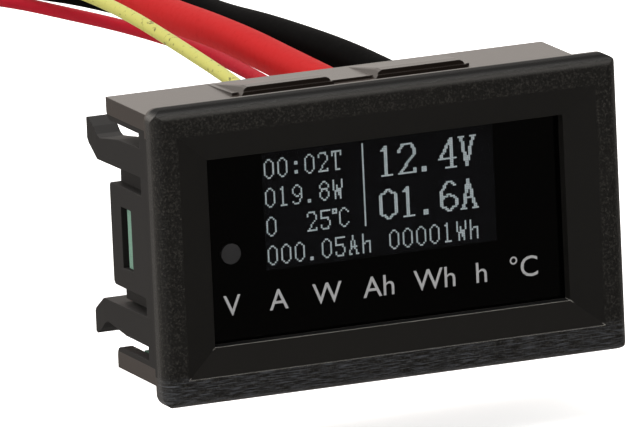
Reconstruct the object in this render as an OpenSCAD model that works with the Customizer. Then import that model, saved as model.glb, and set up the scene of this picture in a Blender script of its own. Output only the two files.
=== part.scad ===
// Digital panel meter: a snap-in moulded case with a bevelled bezel, a smoked window,
// an OLED display, a push button and five soldered leads.
// X runs to the viewer's right, Y from the front to the back and Z up.
// The origin is the centre of the bezel in the plane of the panel that it clips into.
// All sizes are in millimetres.

/* [Bezel] */
// Width of the bezel
bezel_w = 48; // [46:0.5:60]
// Height of the bezel
bezel_h = 29; // [27:0.5:40]
// Thickness of the bezel in front of the panel
bezel_t = 2.5; // [2.1:0.1:4]
// Radius round the outer front edge
edge_r = 1.2; // [0.4:0.1:1.6]
// Corner radius seen from the front
corner_r = 1.3; // [0.3:0.1:2]
// Width of the flat land beside the ridge, left and right
land_w = 1.2; // [0.6:0.1:2]
// Height of the flat land above and below the ridge
land_h = 1.5; // [0.6:0.1:2]
// Width of the sloping bevel, left and right
bevel_w = 3.2; // [1:0.1:4]
// Height of the sloping bevel, above and below the window
bevel_h = 2.7; // [1:0.1:3.5]
// Depth that the bevel falls from the ridge
bevel_d = 0.9; // [0.4:0.1:1]
// Depth of the straight lip between the bevel and the window
lip_d = 1.2; // [0.4:0.1:1.5]

/* [Body] */
// Width of the body that passes through the panel
body_w = 45.4; // [44:0.1:50]
// Height of the body that passes through the panel
body_h = 26.5; // [26:0.1:36]
// Depth of the body walls behind the panel
body_d = 13; // [12:0.5:20]
// Thickness of the body walls
wall_t = 1.2; // [0.8:0.1:1.6]
// Height of the centre block in each side wall
block_h = 10; // [8:0.5:11]
// Width of the slot between the centre block and an arm
inner_slot = 1.8; // [1:0.1:2]
// Width of the slot between an arm and the corner strip
outer_slot = 1.4; // [1:0.1:1.6]
// Distance from the panel to the front end of the slots
slot_start = 4.8; // [3:0.1:6]

/* [Snap arms and lugs] */
// Width of a snap arm
arm_w = 2.9; // [2:0.1:3.2]
// Thickness of the snap arms and of the centre blocks
arm_t = 2.2; // [1.6:0.1:2.3]
// Distance from the panel to the end of the snap arms
arm_end = 18; // [16.5:0.5:20]
// How far an arm flares out of the body's side
foot_out = 0.3; // [0.1:0.1:1]
// How far an arm's hook reaches past the arm's edge
foot_up = 0.9; // [0.5:0.1:1.2]
// Depth of the hollow in front of an arm's hook
foot_dip = 0.7; // [0.3:0.1:1]
// Width of the raised tongue on the top and the bottom
tongue_w = 24.6; // [23.6:0.2:30]
// Height of the raised tongue at its front edge
tongue_rise = 0.25; // [0.1:0.05:0.4]
// Distance from the panel to the front edge of the tongue
tongue_y = 6.4; // [6.2:0.1:8]
// Width of a snap lug
lug_w = 9.7; // [6:0.1:9.8]
// Gap between the two lugs of a row
lug_gap = 4.2; // [2:0.2:4.4]
// Height of a lug's catch above the body
lug_rise = 0.85; // [0.5:0.05:0.9]
// Distance from the panel to a lug's catch face
lug_y = 5.6; // [4:0.1:6]

/* [Window and display] */
// Thickness of the window
window_t = 1; // [0.8:0.1:1.2]
// How far the window reaches behind the lip
window_lap = 1.2; // [0.8:0.1:1.4]
// Thickness of the printed mask behind the window
mask_t = 0.1; // [0.1:0.05:0.2]
// Width of the display glass
oled_w = 26.7; // [20:0.1:30]
// Height of the display glass
oled_h = 19.2; // [16:0.1:20]
// Thickness of each display glass
oled_glass_t = 0.7; // [0.5:0.05:0.8]
// Width of the area that lights
active_w = 21.74; // [18:0.01:24]
// Height of the area that lights
active_h = 10.86; // [8:0.01:12]
// Sideways place of the lit area's centre
active_x = -0.7; // [-1:0.05:1]
// Height of the lit area's centre
active_z = 2.75; // [1:0.05:2.9]
// Glass above the lit area
oled_top = 2.1; // [1.5:0.1:2.4]
// Height of the ledge that carries the driver chip
oled_ledge = 4; // [3.2:0.1:4.4]

/* [Button and switch] */
// Distance from the left edge of the opening to the button's centre
button_in = 2.5; // [1.9:0.1:3.2]
// Height of the button
button_z = -0.5; // [-2:0.1:2]
// Diameter of the button's nose
button_d = 2; // [1.6:0.1:2.4]
// Radial clearance of the nose in the window
button_gap = 0.1; // [0.05:0.05:0.2]
// How far the nose stands proud of the window
button_proud = 0.1; // [0.05:0.05:0.4]
// How far the button travels
button_travel = 0.3; // [0.2:0.05:0.4]
// Side of the square switch under the button
switch_w = 6; // [4.5:0.1:6.2]
// Height of the switch body on the board
switch_h = 3.5; // [3.2:0.1:4]

/* [Board] */
// Distance from the panel to the front of the board
pcb_y = 7.9; // [7.4:0.1:8.4]
// Thickness of the board
pcb_t = 1.6; // [1:0.1:1.8]
// Gap between the board and the walls
pcb_gap = 0.2; // [0.1:0.05:0.3]
// Height of the ear on each side of the board
ear_h = 5.8; // [4:0.1:6.2]
// Gap behind the ear in its slot
ear_room = 0.85; // [0.2:0.05:1.2]

/* [Leads] */
// Diameter of the two thick leads
thick_d = 3.5; // [3:0.1:3.8]
// Diameter of the three thin leads
thin_d = 1.3; // [1.1:0.1:1.5]
// Diameter of a thick lead's bare strands
thick_core = 1.8; // [1.4:0.1:2]
// Diameter of a thin lead's bare strands
thin_core = 0.8; // [0.6:0.1:0.9]
// Length of the tinned end of a lead
tip_l = 6; // [4:0.5:8]

/* [Hidden] */

eps = 0.01;
fit = 0.1;         // gap between fixed parts that slide together
round_n = 48;      // facets of a round that matters
cord_sides = 8;

// Bezel and window, worked out from the sizes above
ridge_x = bezel_w / 2 - edge_r - land_w;
ridge_z = bezel_h / 2 - edge_r - land_h;
open_x = ridge_x - bevel_w;
open_z = ridge_z - bevel_h;
lip_y = bevel_d - bezel_t;
window_y = lip_y + lip_d;
mask_y = window_y + window_t;
cavity_y = mask_y + mask_t;
cavity_x = body_w / 2 - wall_t;
cavity_z = body_h / 2 - wall_t;
view_left = active_x - active_w / 2 - 0.5;
view_right = active_x + active_w / 2 + 1.7;
view_low = active_z - active_h / 2 - 0.1;
view_top = open_z + 0.1;

// Side wall, from the middle outwards
arm_low = block_h / 2 + inner_slot;
arm_high = arm_low + arm_w;
strip_low = arm_high + outer_slot;
arm_x = body_w / 2 - arm_t;
arm_root = slot_start - 1;
hook_l = 4.4;      // length of the hollow and the hook at the end of an arm
hook_r = 0.8;      // rounding at the back of a hook
tip_cut = 2.8;     // length of the chamfer at the end of an arm
web_gap = 0.3;     // gap between an arm and the inner half of the centre block
strip_r = 1;       // rounding at the back of the corner strips
block_r = 0.5;     // rounding at the back of the centre blocks

// Display stack
polariser_t = 0.2;
glass_y = cavity_y + polariser_t;
back_glass_y = glass_y + oled_glass_t;
spacer_y = back_glass_y + oled_glass_t;
glass_top = active_z + active_h / 2 + oled_top;
glass_low = glass_top - oled_h;

// Button stack
button_x = button_in - open_x;
cover_t = 0.3;
switch_y = pcb_y - switch_h;
stem_proud = 0.8;
stem_r = 1.7;
stem_y = switch_y - cover_t - stem_proud;
flange_gap = 0.2;
flange_y = cavity_y + flange_gap;
flange_t = 0.6;
flange_r = button_d / 2 + 0.7;
leg_out = switch_w * 0.37;

// Board
pcb_back = pcb_y + pcb_t;
pcb_x = cavity_x - pcb_gap;
pcb_z = cavity_z - pcb_gap;
post_w = 1.8;
thick_hole = thick_core + 2 * fit;
thin_hole = thin_core + 2 * fit;
lead_start = 12;   // where each lead's insulation starts
shunt_half = 4;    // half the distance between the shunt's legs
shunt_r = 0.65;

// Width, height and thickness of the larger parts with folded ends
diode_size = [4.3, 2.6, 2.1];
capacitor_size = [7.3, 4.3, 2.8];

// Places on the back of the board: X, Z
mcu_at = [-8.3, -2.5];
memory_at = [0.2, -2];
amplifier_at = [0.2, 3.8];
regulator_at = [-14.5, 6.5];
converter_at = [18, -7.5];
inductor_at = [17.5, 0];
diode_at = [12, -8.2];
capacitor_at = [3.6, -8.2];
shunt_at = [8.5, 2.2];
thermistor_at = [-18.5, -9.5];
thick_at = [[6.2, 8], [12.6, 8]];
thin_at = [[1.6, 8], [-1, 8.6], [-3.6, 8.6]];
resistor_at = [
    [-18.8, 3.4], [-18.8, 0.6], [-18.8, -0.6], [-5.4, 6.6], [-5.4, 5], [-6.2, -7.8], [-6.2, -9.4],
    [6, -1.4], [6, -3], [6, -4.6], [9, -1.4], [9, -3], [9, -4.6], [19, 5.8]
];
ceramic_at = [
    [-8.2, 4.2], [-9.2, 9.8], [-14.6, 10.6], [-12, -9.2], [-9.2, -9.2], [-2.4, -7], [13.4, -3.4], [19, 8]
];

// Routes of the leads, chosen by hand, from the board to the free end
route_thick_red = [
    [6.2, 12, 8], [6.2, 18, 8], [6.2, 28, 8.4], [6.2, 38, 8.6], [6.2, 48, 8.8], [6.2, 58, 8.7],
    [6.2, 68, 8.4], [6.2, 78, 8.4], [6.2, 88, 8.5], [6.1, 98, 8.3], [5.8, 108, 7.4], [5.2, 118, 5.4],
    [4.4, 128, 2.2], [3.6, 137, -2.2], [2.8, 145, -7.8]
];
route_thick_black = [
    [12.6, 12, 8], [12.6, 18, 8], [12.6, 28, 8.3], [12.4, 38, 8.5], [12.2, 48, 8.3], [12, 58, 7.9],
    [11.8, 68, 7.3], [11.6, 78, 7.1], [11.4, 88, 7], [11.1, 98, 6.9], [10.6, 108, 6.5], [9.9, 118, 5.2],
    [9, 128, 2.4], [8.2, 137, -1.8], [7.4, 145, -7.2]
];
route_thin_red = [
    [1.6, 12, 8], [1.6, 15, 8], [1.9, 23, 8], [2.2, 32, 8], [2.5, 40, 8.1], [2.6, 48, 8.2], [1.6, 56, 8.4],
    [-0.2, 65, 8.6], [-2.4, 74, 8.6], [-5, 83, 8.6], [-7.6, 92, 8], [-10, 101, 6.4], [-12, 110, 3.2],
    [-13.6, 118, -1.6], [-14.6, 125, -7.8], [-15, 130, -15]
];
route_thin_black = [
    [-1, 12, 8.6], [-1, 15, 8.6], [0, 22, 7.4], [2.4, 29, 5.4], [5.4, 35, 4], [8, 41, 4.4], [9.4, 48, 5.4],
    [9.5, 56, 6], [9.2, 64, 6.2], [8.8, 72, 6.2], [8.2, 80, 6.1], [7.2, 88, 5.9], [5.8, 97, 5.5],
    [4.2, 106, 4.6], [2.8, 114, 2.2], [1.8, 121, -1.8], [1.2, 127, -7]
];
route_thin_yellow = [
    [-3.6, 12, 8.6], [-3.6, 15, 8.6], [-3.3, 23, 9], [-2.9, 32, 9.7], [-2.8, 40, 10.3],
    [-2.8, 48, 10.9], [-2.8, 56, 11.4], [-3, 65, 11.7], [-3.6, 74, 11.7], [-4.6, 83, 11.1], [-6, 92, 9.7],
    [-7.4, 101, 7.1], [-8.8, 110, 3.3], [-10, 118, -1.6], [-10.8, 125, -8], [-11.2, 130, -15.2]
];

// ---- Helpers ----

// Extrudes a shape drawn in X, Z from y0 to y1
module along_y(y0, y1) {
    translate([0, y1, 0]) rotate([90, 0, 0]) linear_extrude(y1 - y0) children();
}

// Extrudes a shape drawn in Y, Z from x0 to x1
module along_x(x0, x1) {
    translate([x0, 0, 0]) rotate([90, 0, 90]) linear_extrude(x1 - x0) children();
}

// Extrudes a shape drawn in X, Y from z0 to z1
module along_z(z0, z1) {
    translate([0, 0, z0]) linear_extrude(z1 - z0) children();
}

// Round bar along Y
module rod_y(x, z, r, y0, y1) {
    translate([x, y1, z]) rotate([90, 0, 0]) cylinder(r = r, h = y1 - y0, $fn = round_n);
}

// Block that is centred in X and Z and runs from y0 to y1
module plate_y(w, h, y0, y1) {
    translate([-w / 2, y0, -h / 2]) cube([w, y1 - y0, h]);
}

// Points on an arc from angle a0 to a1
function arc(y, z, r, a0, a1, n = 10) =
    [for (i = [0:n]) let (a = a0 + (a1 - a0) * i / n) [y + r * cos(a), z + r * sin(a)]];

// Upright rectangle whose four corners are rounded
module rounded_rect(w, h, r) {
    square([w - 2 * r, h], center = true);
    square([w, h - 2 * r], center = true);
    for (x = [-1, 1], z = [-1, 1])
        translate([x * (w / 2 - r), z * (h / 2 - r)]) circle(r = r, $fn = round_n);
}

// Section of the bezel across one axis, front edge down, with its front corners rounded
module bezel_section(w) {
    translate([-w / 2, edge_r - bezel_t]) square([w, bezel_t - edge_r]);
    translate([edge_r - w / 2, -bezel_t]) square([w - 2 * edge_r, bezel_t]);
    for (s = [-1, 1])
        translate([s * (w / 2 - edge_r), edge_r - bezel_t]) circle(r = edge_r, $fn = round_n);
}

// Section of the sloping bevel across one axis
module bevel_section(ridge, run) {
    more = run / bevel_d;
    polygon([
        [-ridge - more, -bezel_t - 1], [ridge + more, -bezel_t - 1],
        [ridge - run, lip_y], [run - ridge, lip_y]
    ]);
}

// Swaps a section's axes, so that one drawn in X, Y can be used in Y, Z
module swap_axes() {
    multmatrix([[0, 1, 0, 0], [1, 0, 0, 0], [0, 0, 1, 0], [0, 0, 0, 1]]) children();
}

// ---- Case ----

module bezel_frame() {
    difference() {
        intersection() {
            along_z(-bezel_h / 2, bezel_h / 2) bezel_section(bezel_w);
            along_x(-bezel_w / 2, bezel_w / 2) swap_axes() bezel_section(bezel_h);
            along_y(-bezel_t, 0) rounded_rect(bezel_w, bezel_h, corner_r);
        }
        intersection() {
            along_z(-bezel_h / 2, bezel_h / 2) bevel_section(ridge_x, bevel_w);
            along_x(-bezel_w / 2, bezel_w / 2) swap_axes() bevel_section(ridge_z, bevel_h);
        }
    }
}

// One snap arm on the right, above the middle, with its hollow and its hook
module snap_arm() {
    outer = body_w / 2;
    hook_top = arm_high + foot_up;
    dip = arm_high - foot_dip;
    start = arm_end - hook_l;
    intersection() {
        along_x(arm_x - 1, outer + foot_out + 1) polygon(concat(
            [[arm_root, arm_low], [arm_end - tip_cut, arm_low], [arm_end - 0.7, arm_low + 1.3],
             [arm_end - 0.1, arm_low + 2.1]],
            arc(arm_end - hook_r, hook_top - hook_r, hook_r, 0, 100),
            [[arm_end - 2.1, arm_high + 0.2], [arm_end - 2.9, dip + 0.25], [arm_end - 3.6, dip],
             [start, dip + 0.1], [start - 3.6, arm_high - 0.1], [arm_root, arm_high]]
        ));
        along_z(arm_low - 1, hook_top + 1) polygon([
            [arm_x, arm_root], [outer, arm_root], [outer + foot_out, arm_end - tip_cut],
            [outer + foot_out, arm_end - 0.4], [outer + foot_out - 0.3, arm_end], [arm_x, arm_end]
        ]);
    }
}

// Centre block on the right, with the slot that holds the board's ear. Its inner half is taller.
module centre_block() {
    half = block_h / 2;
    web = arm_low - web_gap;
    difference() {
        union() {
            along_x(arm_x, body_w / 2) polygon(concat(
                [[arm_root, half], [arm_root, -half]],
                arc(body_d - block_r, block_r - half, block_r, -90, 0, 6),
                arc(body_d - block_r, half - block_r, block_r, 0, 90, 6)
            ));
            translate([arm_x, arm_root, -web]) cube([wall_t, body_d - block_r - arm_root, 2 * web]);
        }
        translate([arm_x - 1, pcb_y - fit, -ear_h / 2 - fit])
            cube([arm_t + 2, pcb_t + fit + ear_room, ear_h + 2 * fit]);
    }
}

// One lug of the row on the top, with its stepped catch face, sloping ends and long ramp
module snap_lug(x) {
    top = body_h / 2;
    half = lug_w / 2;
    step = lug_rise / 2;
    hull() {
        translate([x, 0, top]) along_y(lug_y, lug_y + 1.2) polygon([
            [-half, -0.5], [half, -0.5], [half, 0], [half - 0.5, lug_rise - 0.15],
            [half - 0.8, lug_rise], [0.8 - half, lug_rise], [0.5 - half, lug_rise - 0.15], [-half, 0]
        ]);
        translate([x - half, body_d - 1, top - 0.5]) cube([lug_w, 0.5, 0.5]);
    }
    translate([x, 0, top]) along_y(lug_y - 0.3, lug_y + eps) polygon([
        [-half, -0.5], [half, -0.5], [half, 0], [half - 0.25, step], [0.25 - half, step], [-half, 0]
    ]);
}

// Raised tongue on the top: highest at its front edge, flush at the back
module tongue() {
    top = body_h / 2;
    along_x(-tongue_w / 2, tongue_w / 2) polygon([
        [tongue_y, top - 0.5], [tongue_y, top + tongue_rise], [body_d, top], [body_d, top - 0.5]
    ]);
}

// Opening in each side wall that the arms and the centre block stand in
module side_openings() {
    for (s = [-1, 1], up = [0, 1]) mirror([0, 0, up])
        along_x(s * body_w / 2 - wall_t - 1, s * body_w / 2 + wall_t + 1) polygon(concat(
            [[slot_start, -eps], [slot_start, strip_low]],
            arc(body_d - strip_r, strip_low + strip_r, strip_r, -90, 0),
            [[body_d + 1, strip_low + strip_r], [body_d + 1, -eps]]
        ));
}

// Posts in the corners of the cavity that the board stands on
module corner_posts() {
    for (x = [-1, 1], z = [-1, 1])
        translate([x * (cavity_x - post_w / 2), 0, z * (cavity_z - post_w / 2)])
            plate_y(post_w, post_w, cavity_y - eps, pcb_y);
}

module case() {
    color([0.09, 0.09, 0.09]) {
        difference() {
            union() {
                bezel_frame();
                difference() {
                    plate_y(body_w, body_h, -bezel_t + bevel_d + 0.2, body_d);
                    side_openings();
                }
                for (up = [0, 1], s = [-1, 1]) mirror([0, 0, up]) {
                    tongue();
                    snap_lug(s * (lug_w + lug_gap) / 2);
                }
            }
            // opening inside the lip
            plate_y(2 * open_x, 2 * open_z, -bezel_t, cavity_y);
            // seat of the window and its mask
            plate_y(2 * (open_x + window_lap + fit), 2 * (open_z + window_lap + fit), window_y, cavity_y + eps);
            // cavity behind the front wall
            plate_y(2 * cavity_x, 2 * cavity_z, cavity_y, body_d + eps);
        }
        for (s = [0, 1]) mirror([s, 0, 0]) {
            centre_block();
            for (up = [0, 1]) mirror([0, 0, up]) snap_arm();
        }
        corner_posts();
    }
}

// ---- Window and display ----

module window_plate(y0, y1) {
    difference() {
        plate_y(2 * (open_x + window_lap), 2 * (open_z + window_lap), y0, y1);
        rod_y(button_x, button_z, button_d / 2 + button_gap, y0 - 1, y1 + 1);
    }
}

module window_panel() {
    color([0.2, 0.2, 0.22, 0.5]) window_plate(window_y, mask_y);
}

// Block over the clear part of the mask, grown by a margin
module view_plate(more, y0, y1) {
    translate([view_left - more, y0, view_low - more])
        cube([view_right - view_left + 2 * more, y1 - y0, view_top - view_low + 2 * more]);
}

module window_mask() {
    color([0.02, 0.02, 0.02]) difference() {
        window_plate(mask_y, cavity_y);
        view_plate(0, mask_y - 1, cavity_y + 1);
    }
}

module glass_plate(top, low, y0, y1) {
    translate([active_x, 0, (top + low) / 2]) plate_y(oled_w, top - low, y0, y1);
}

module oled_polariser() {
    color([0.05, 0.05, 0.06]) view_plate(0.4, cavity_y, glass_y);
}

module oled_front_glass() {
    color([0.6, 0.7, 0.7, 0.5]) glass_plate(glass_top, glass_low, glass_y, back_glass_y);
}

module oled_back_glass() {
    color([0.75, 0.76, 0.78]) glass_plate(glass_top, glass_low + oled_ledge, back_glass_y, spacer_y);
}

module oled_driver_chip() {
    color([0.2, 0.2, 0.22]) translate([active_x, 0, glass_low + oled_ledge - 1.4])
        plate_y(11, 1, back_glass_y, back_glass_y + 0.4);
}

// Ribbon of even thickness drawn in Y, Z, from the glass round to the board
module oled_flex() {
    thin = 0.15;
    ledge_top = glass_low + 1.4;
    drop = glass_low - 0.8;
    r = 0.6;
    y0 = back_glass_y;
    color([0.75, 0.45, 0.12]) along_x(active_x - 6, active_x + 6) {
        translate([y0, drop + r]) square([thin, ledge_top - drop - r]);
        flex_bend(y0 + r, drop + r, r, thin, 1);
        translate([y0 + r, drop]) square([pcb_y - y0 - 2 * r, thin]);
        flex_bend(pcb_y - r, drop + r, r, thin, 0);
        translate([pcb_y - thin, drop + r]) square([thin, ledge_top - drop - r + 0.6]);
    }
}

// Quarter turn of the ribbon
module flex_bend(y, z, r, thin, left) {
    intersection() {
        translate([y, z]) difference() {
            circle(r = r, $fn = round_n);
            circle(r = r - thin, $fn = round_n);
        }
        translate([left ? y - r : y, z - r]) square([r, r]);
    }
}

// Foam block between the glass and the board, relieved round the joints that stand through the board
module oled_spacer() {
    relief = 0.8;
    color([0.15, 0.15, 0.15]) difference() {
        translate([active_x, 0, active_z]) plate_y(active_w, active_h, spacer_y, pcb_y);
        for (p = thin_at) rod_y(p[0], p[1], thin_hole, pcb_y - relief, pcb_y + 1);
        for (p = thick_at) rod_y(p[0], p[1], thick_hole, pcb_y - relief, pcb_y + 1);
        for (s = [-1, 1])
            rod_y(shunt_at[0] + s * shunt_half, shunt_at[1], 2 * shunt_r, pcb_y - relief, pcb_y + 1);
    }
}

// ---- Button and switch ----

module push_button() {
    color([0.16, 0.16, 0.17]) {
        rod_y(button_x, button_z, button_d / 2, window_y - button_proud, flange_y + eps);
        rod_y(button_x, button_z, flange_r, flange_y, flange_y + flange_t);
        rod_y(button_x, button_z, button_d / 2 + 0.3, flange_y + flange_t - eps, stem_y);
    }
}

module switch_body() {
    color([0.12, 0.12, 0.12]) difference() {
        translate([button_x, 0, button_z]) plate_y(switch_w, switch_w, switch_y, pcb_y);
        rod_y(button_x, button_z, stem_r + fit, switch_y - 1, switch_y + 1.8 + button_travel);
    }
}

module switch_cover() {
    color([0.75, 0.76, 0.78]) difference() {
        translate([button_x, 0, button_z]) plate_y(switch_w, switch_w, switch_y - cover_t, switch_y);
        rod_y(button_x, button_z, stem_r + fit, switch_y - 2, switch_y + 1);
    }
}

module switch_stem() {
    color([0.1, 0.1, 0.1]) rod_y(button_x, button_z, stem_r, stem_y, switch_y + 1.6);
}

module switch_legs() {
    color([0.8, 0.8, 0.82]) for (x = [-1, 1], z = [-1, 1])
        translate([button_x + x * leg_out, 0, button_z + z * leg_out]) plate_y(0.7, 0.3, pcb_y, pcb_back + 0.6);
}

// ---- Board and what is on it ----

module main_pcb() {
    color([0.1, 0.42, 0.3]) difference() {
        union() {
            for (up = [0, 1]) mirror([0, 0, up])
                translate([-pcb_x, pcb_y, strip_low]) cube([2 * pcb_x, pcb_t, pcb_z - strip_low]);
            plate_y(2 * (arm_x - pcb_gap), 2 * pcb_z, pcb_y, pcb_back);
            plate_y(body_w - 0.6, ear_h, pcb_y, pcb_back);
        }
        for (p = thick_at) rod_y(p[0], p[1], thick_hole / 2, pcb_y - 1, pcb_back + 1);
        for (p = thin_at) rod_y(p[0], p[1], thin_hole / 2, pcb_y - 1, pcb_back + 1);
        for (s = [-1, 1])
            rod_y(shunt_at[0] + s * shunt_half, shunt_at[1], shunt_r + fit, pcb_y - 1, pcb_back + 1);
        for (x = [-1, 1], z = [-1, 1])
            rod_y(button_x + x * leg_out, button_z + z * leg_out, 0.45, pcb_y - 1, pcb_back + 1);
    }
}

// Moulded package that stands a little off the board, with drafted sides
module package(at, w, h, t) {
    off = 0.1;
    mid = pcb_back + off + t / 2;
    translate([at[0], 0, at[1]]) intersection() {
        along_z(-h / 2, h / 2) polygon([
            [-w / 2, mid - 0.1], [0.1 - w / 2, pcb_back + off], [w / 2 - 0.1, pcb_back + off],
            [w / 2, mid - 0.1], [w / 2, mid + 0.1], [w / 2 - 0.2, pcb_back + off + t],
            [0.2 - w / 2, pcb_back + off + t], [-w / 2, mid + 0.1]
        ]);
        along_x(-w / 2, w / 2) polygon([
            [mid - 0.1, -h / 2], [pcb_back + off, 0.1 - h / 2], [pcb_back + off, h / 2 - 0.1],
            [mid - 0.1, h / 2], [mid + 0.1, h / 2], [pcb_back + off + t, h / 2 - 0.2],
            [pcb_back + off + t, 0.2 - h / 2], [mid + 0.1, -h / 2]
        ]);
    }
}

module microcontroller() { color([0.08, 0.08, 0.08]) package(mcu_at, 7, 7, 1.4); }
module memory_chip() { color([0.08, 0.08, 0.08]) package(memory_at, 4, 5, 1.5); }
module amplifier_chip() { color([0.08, 0.08, 0.08]) package(amplifier_at, 4, 5, 1.5); }
module regulator() { color([0.08, 0.08, 0.08]) package(regulator_at, 6.5, 3.5, 1.6); }
module converter_chip() { color([0.08, 0.08, 0.08]) package(converter_at, 1.7, 2.9, 1.1); }

// One gull-wing pin that leaves a package towards +X at height z
module pin(at, x, z, wide, rise) {
    foot = 0.6;
    lead = 0.3;
    thin = 0.2;
    translate([at[0] + x, pcb_back, at[1] + z - wide / 2]) linear_extrude(wide) polygon([
        [0, rise], [lead + thin, rise], [lead + thin, thin], [lead + foot, thin], [lead + foot, 0],
        [lead, 0], [lead, rise - thin], [0, rise - thin]
    ]);
}

// Two rows of pins, left and right of a package
module pin_rows(at, w, count, pitch, wide, rise) {
    for (s = [0, 1]) translate([at[0], 0, at[1]]) mirror([s, 0, 0])
        for (i = [0:count - 1]) pin([0, 0], w / 2, (i - (count - 1) / 2) * pitch, wide, rise);
}

module chip_pins() {
    color([0.8, 0.8, 0.82]) {
        pin_rows(mcu_at, 7, 8, 0.8, 0.35, 0.9);
        translate([mcu_at[0], 0, mcu_at[1]]) rotate([0, 90, 0]) pin_rows([0, 0], 7, 8, 0.8, 0.35, 0.9);
        for (at = [memory_at, amplifier_at]) pin_rows(at, 4, 4, 1.27, 0.42, 0.95);
        pin_rows(converter_at, 1.7, 3, 0.95, 0.4, 0.75);
        translate([regulator_at[0], 0, regulator_at[1]]) {
            rotate([0, 90, 0]) for (i = [-1:1]) pin([0, 0], 1.75, i * 2.3, 0.7, 1);
            rotate([0, -90, 0]) pin([0, 0], 1.75, 0, 3, 1);
        }
    }
}

module inductor() {
    color([0.22, 0.22, 0.24]) translate([inductor_at[0], 0, inductor_at[1]]) difference() {
        along_y(pcb_back + 0.2, pcb_back + 2.4) rounded_rect(4.4, 4.4, 1.2);
        difference() {
            rod_y(0, 0, 3.4, pcb_back + 0.7, pcb_back + 1.9);
            rod_y(0, 0, 1.75, pcb_back + 0.6, pcb_back + 2);
        }
    }
}

module inductor_pads() {
    color([0.8, 0.8, 0.82]) translate([inductor_at[0], 0, inductor_at[1]])
        for (s = [-1, 1]) translate([s * 1.5, 0, 0]) plate_y(1.2, 4, pcb_back, pcb_back + 0.2);
}

module diode() { color([0.1, 0.1, 0.1]) package(diode_at, diode_size[0], diode_size[1], diode_size[2]); }

module input_capacitor() {
    color([0.85, 0.55, 0.12]) package(capacitor_at, capacitor_size[0], capacitor_size[1], capacitor_size[2]);
}

// Folded end terminals of the diode and the input capacitor
module end_clips() {
    color([0.8, 0.8, 0.82]) for (s = [0, 1], part = [[diode_at, diode_size], [capacitor_at, capacitor_size]]) {
        at = part[0];
        size = part[1];
        translate([at[0], 0, at[1]]) mirror([s, 0, 0])
            pin([0, 0], size[0] / 2, 0, size[1] * 0.57, size[2] * 0.55);
    }
}

// Bent resistance wire that carries the measured current
module shunt() {
    bend = 1.2;
    top = pcb_back + 3;
    color([0.72, 0.5, 0.36]) translate([shunt_at[0], 0, shunt_at[1]]) {
        for (s = [0, 1]) mirror([s, 0, 0]) {
            rod_y(shunt_half, 0, shunt_r, pcb_y - 0.4, top - bend);
            translate([shunt_half - bend, top - bend, 0])
                rotate_extrude(angle = 90, $fn = round_n) translate([bend, 0]) circle(r = shunt_r, $fn = 24);
        }
        translate([bend - shunt_half, top, 0])
            rotate([0, 90, 0]) cylinder(r = shunt_r, h = 2 * (shunt_half - bend), $fn = 24);
    }
}

// Chip part of size w by h by t, lying on the board
module chip_part(at, w, h, t) {
    translate([at[0], 0, at[1]]) plate_y(w, h, pcb_back, pcb_back + t);
}

module ceramic_capacitors() {
    color([0.68, 0.53, 0.38]) for (p = ceramic_at) chip_part(p, 1.3, 1.2, 0.9);
}

module resistors() {
    color([0.08, 0.08, 0.08]) for (p = resistor_at) chip_part(p, 1, 0.8, 0.45);
}

module thermistor() {
    color([0.25, 0.3, 0.25]) chip_part(thermistor_at, 1.3, 1.2, 0.9);
}

// Metal ends of the chip parts
module chip_terminals() {
    color([0.8, 0.8, 0.82]) for (s = [-1, 1]) {
        for (p = concat(ceramic_at, [thermistor_at])) chip_part([p[0] + s * 0.85, p[1]], 0.4, 1.24, 0.94);
        for (p = resistor_at) chip_part([p[0] + s * 0.65, p[1]], 0.3, 0.8, 0.47);
    }
}

// Soldered end of one lead: strands through the board, with the solder that holds them
module soldered_end(at, core, pad) {
    translate([at[0], pcb_back, at[1]]) rotate([-90, 0, 0]) rotate_extrude($fn = round_n) polygon([
        [0, -pcb_t - 0.5], [core * 0.4, -pcb_t - 0.5], [core * 0.5, -pcb_t - 0.3], [core * 0.5, 0],
        [pad, 0], [pad * 0.82, 0.35], [core * 0.62, 0.9], [core * 0.5, 1.3],
        [core * 0.5, lead_start - pcb_back], [0, lead_start - pcb_back]
    ]);
}

module solder_joints() {
    color([0.8, 0.8, 0.82]) {
        for (p = thick_at) soldered_end(p, thick_core, thick_core / 2 + 1);
        for (p = thin_at) soldered_end(p, thin_core, thin_core / 2 + 0.6);
    }
}

// ---- Leads ----

function unit(v) = v / norm(v);
function heading(route, i) = unit(route[min(i + 1, len(route) - 1)] - route[max(i - 1, 0)]);
function ring(route, i, r) =
    let (t = heading(route, i), a = unit(cross(t, [1, 0, 0])), b = cross(t, a))
    [for (k = [0:cord_sides - 1]) let (w = 360 * k / cord_sides) route[i] + r * (cos(w) * a + sin(w) * b)];

// Closed tube of one lead, a ring of points at each point of its route
module lead(route, d) {
    n = len(route);
    m = cord_sides;
    polyhedron(
        points = [for (i = [0:n - 1], p = ring(route, i, d / 2)) p],
        faces = concat(
            [[for (k = [0:m - 1]) k]],
            [for (i = [0:n - 2], k = [0:m - 1])
                let (a = i * m + k, b = i * m + (k + 1) % m) [b, a, a + m, b + m]],
            [[for (k = [m - 1:-1:0]) (n - 1) * m + k]]
        )
    );
}

// Tinned end of one lead, in line with its last stretch
module tip(route, core) {
    end = route[len(route) - 1];
    t = heading(route, len(route) - 1);
    translate(end) rotate([0, acos(t[2]), atan2(t[1], t[0])]) cylinder(d = core, h = tip_l, $fn = 24);
}

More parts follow.
